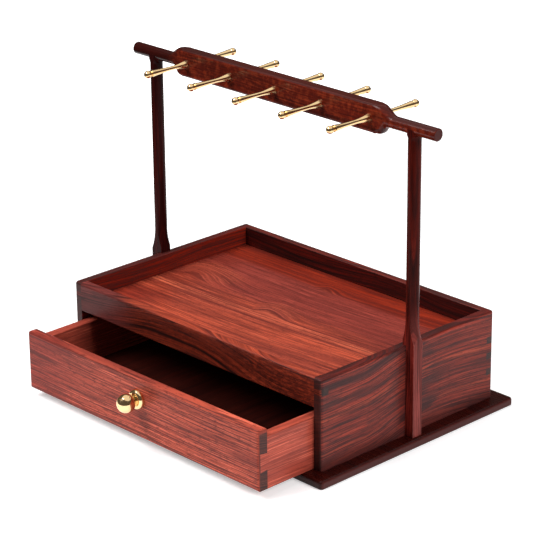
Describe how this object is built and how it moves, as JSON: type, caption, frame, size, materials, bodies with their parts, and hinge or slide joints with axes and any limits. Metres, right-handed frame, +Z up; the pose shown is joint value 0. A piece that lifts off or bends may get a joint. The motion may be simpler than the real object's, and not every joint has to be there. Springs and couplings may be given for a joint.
{
  "type": "jewelry stand with drawer",
  "caption": "Hardwood jewellery stand: a dovetailed box with a sunk tray and a sliding drawer on a plinth plate, under a rail of turned brass pegs on two posts.",
  "frame": {"origin": "middle of the plinth plate's underside, midway between the two posts", "axes": "+X along the hanging rail, -Y the way the drawer opens, +Z up"},
  "size_m": [0.3294, 0.2771, 0.2622],
  "materials": {
    "plate_wood": "satin lacquered dark hardwood",
    "panel_wood": "satin lacquered hardwood",
    "apron_wood": "satin lacquered figured hardwood",
    "tray_wood": "satin lacquered hardwood",
    "post_wood": "polished dark hardwood",
    "rail_wood": "polished dark hardwood",
    "drawer_front_wood": "satin lacquered hardwood",
    "drawer_side_wood": "oiled hardwood",
    "drawer_bottom_wood": "oiled hardwood",
    "brass": "polished",
    "screw_steel": "plain steel"
  },
  "bodies": {
    "stand": {"base_plate": "plate_wood", "side_panel_left": "panel_wood", "side_panel_right": "panel_wood", "back_panel": "panel_wood", "front_rail": "apron_wood", "tray_floor": "tray_wood", "post_left": "post_wood", "post_right": "post_wood", "hanging_rail": "rail_wood", "peg_front_1": "brass", "peg_front_2": "brass", "peg_front_3": "brass", "peg_front_4": "brass", "peg_front_5": "brass", "peg_back_1": "brass", "peg_back_2": "brass", "peg_back_3": "brass", "peg_back_4": "brass", "peg_back_5": "brass", "plate_screws": "screw_steel", "post_screws": "screw_steel"},
    "drawer": {"drawer_front": "drawer_front_wood", "drawer_side_left": "drawer_side_wood", "drawer_side_right": "drawer_side_wood", "drawer_back": "drawer_side_wood", "drawer_bottom": "drawer_bottom_wood", "knob": "brass", "knob_collar": "brass", "knob_screw": "screw_steel"}
  },
  "joints": [
    {"name": "drawer_slide", "type": "slide", "parent": "stand", "child": "drawer", "axis": [0, -1, 0], "range_m": [-0.056, 0.084]}
  ]
}
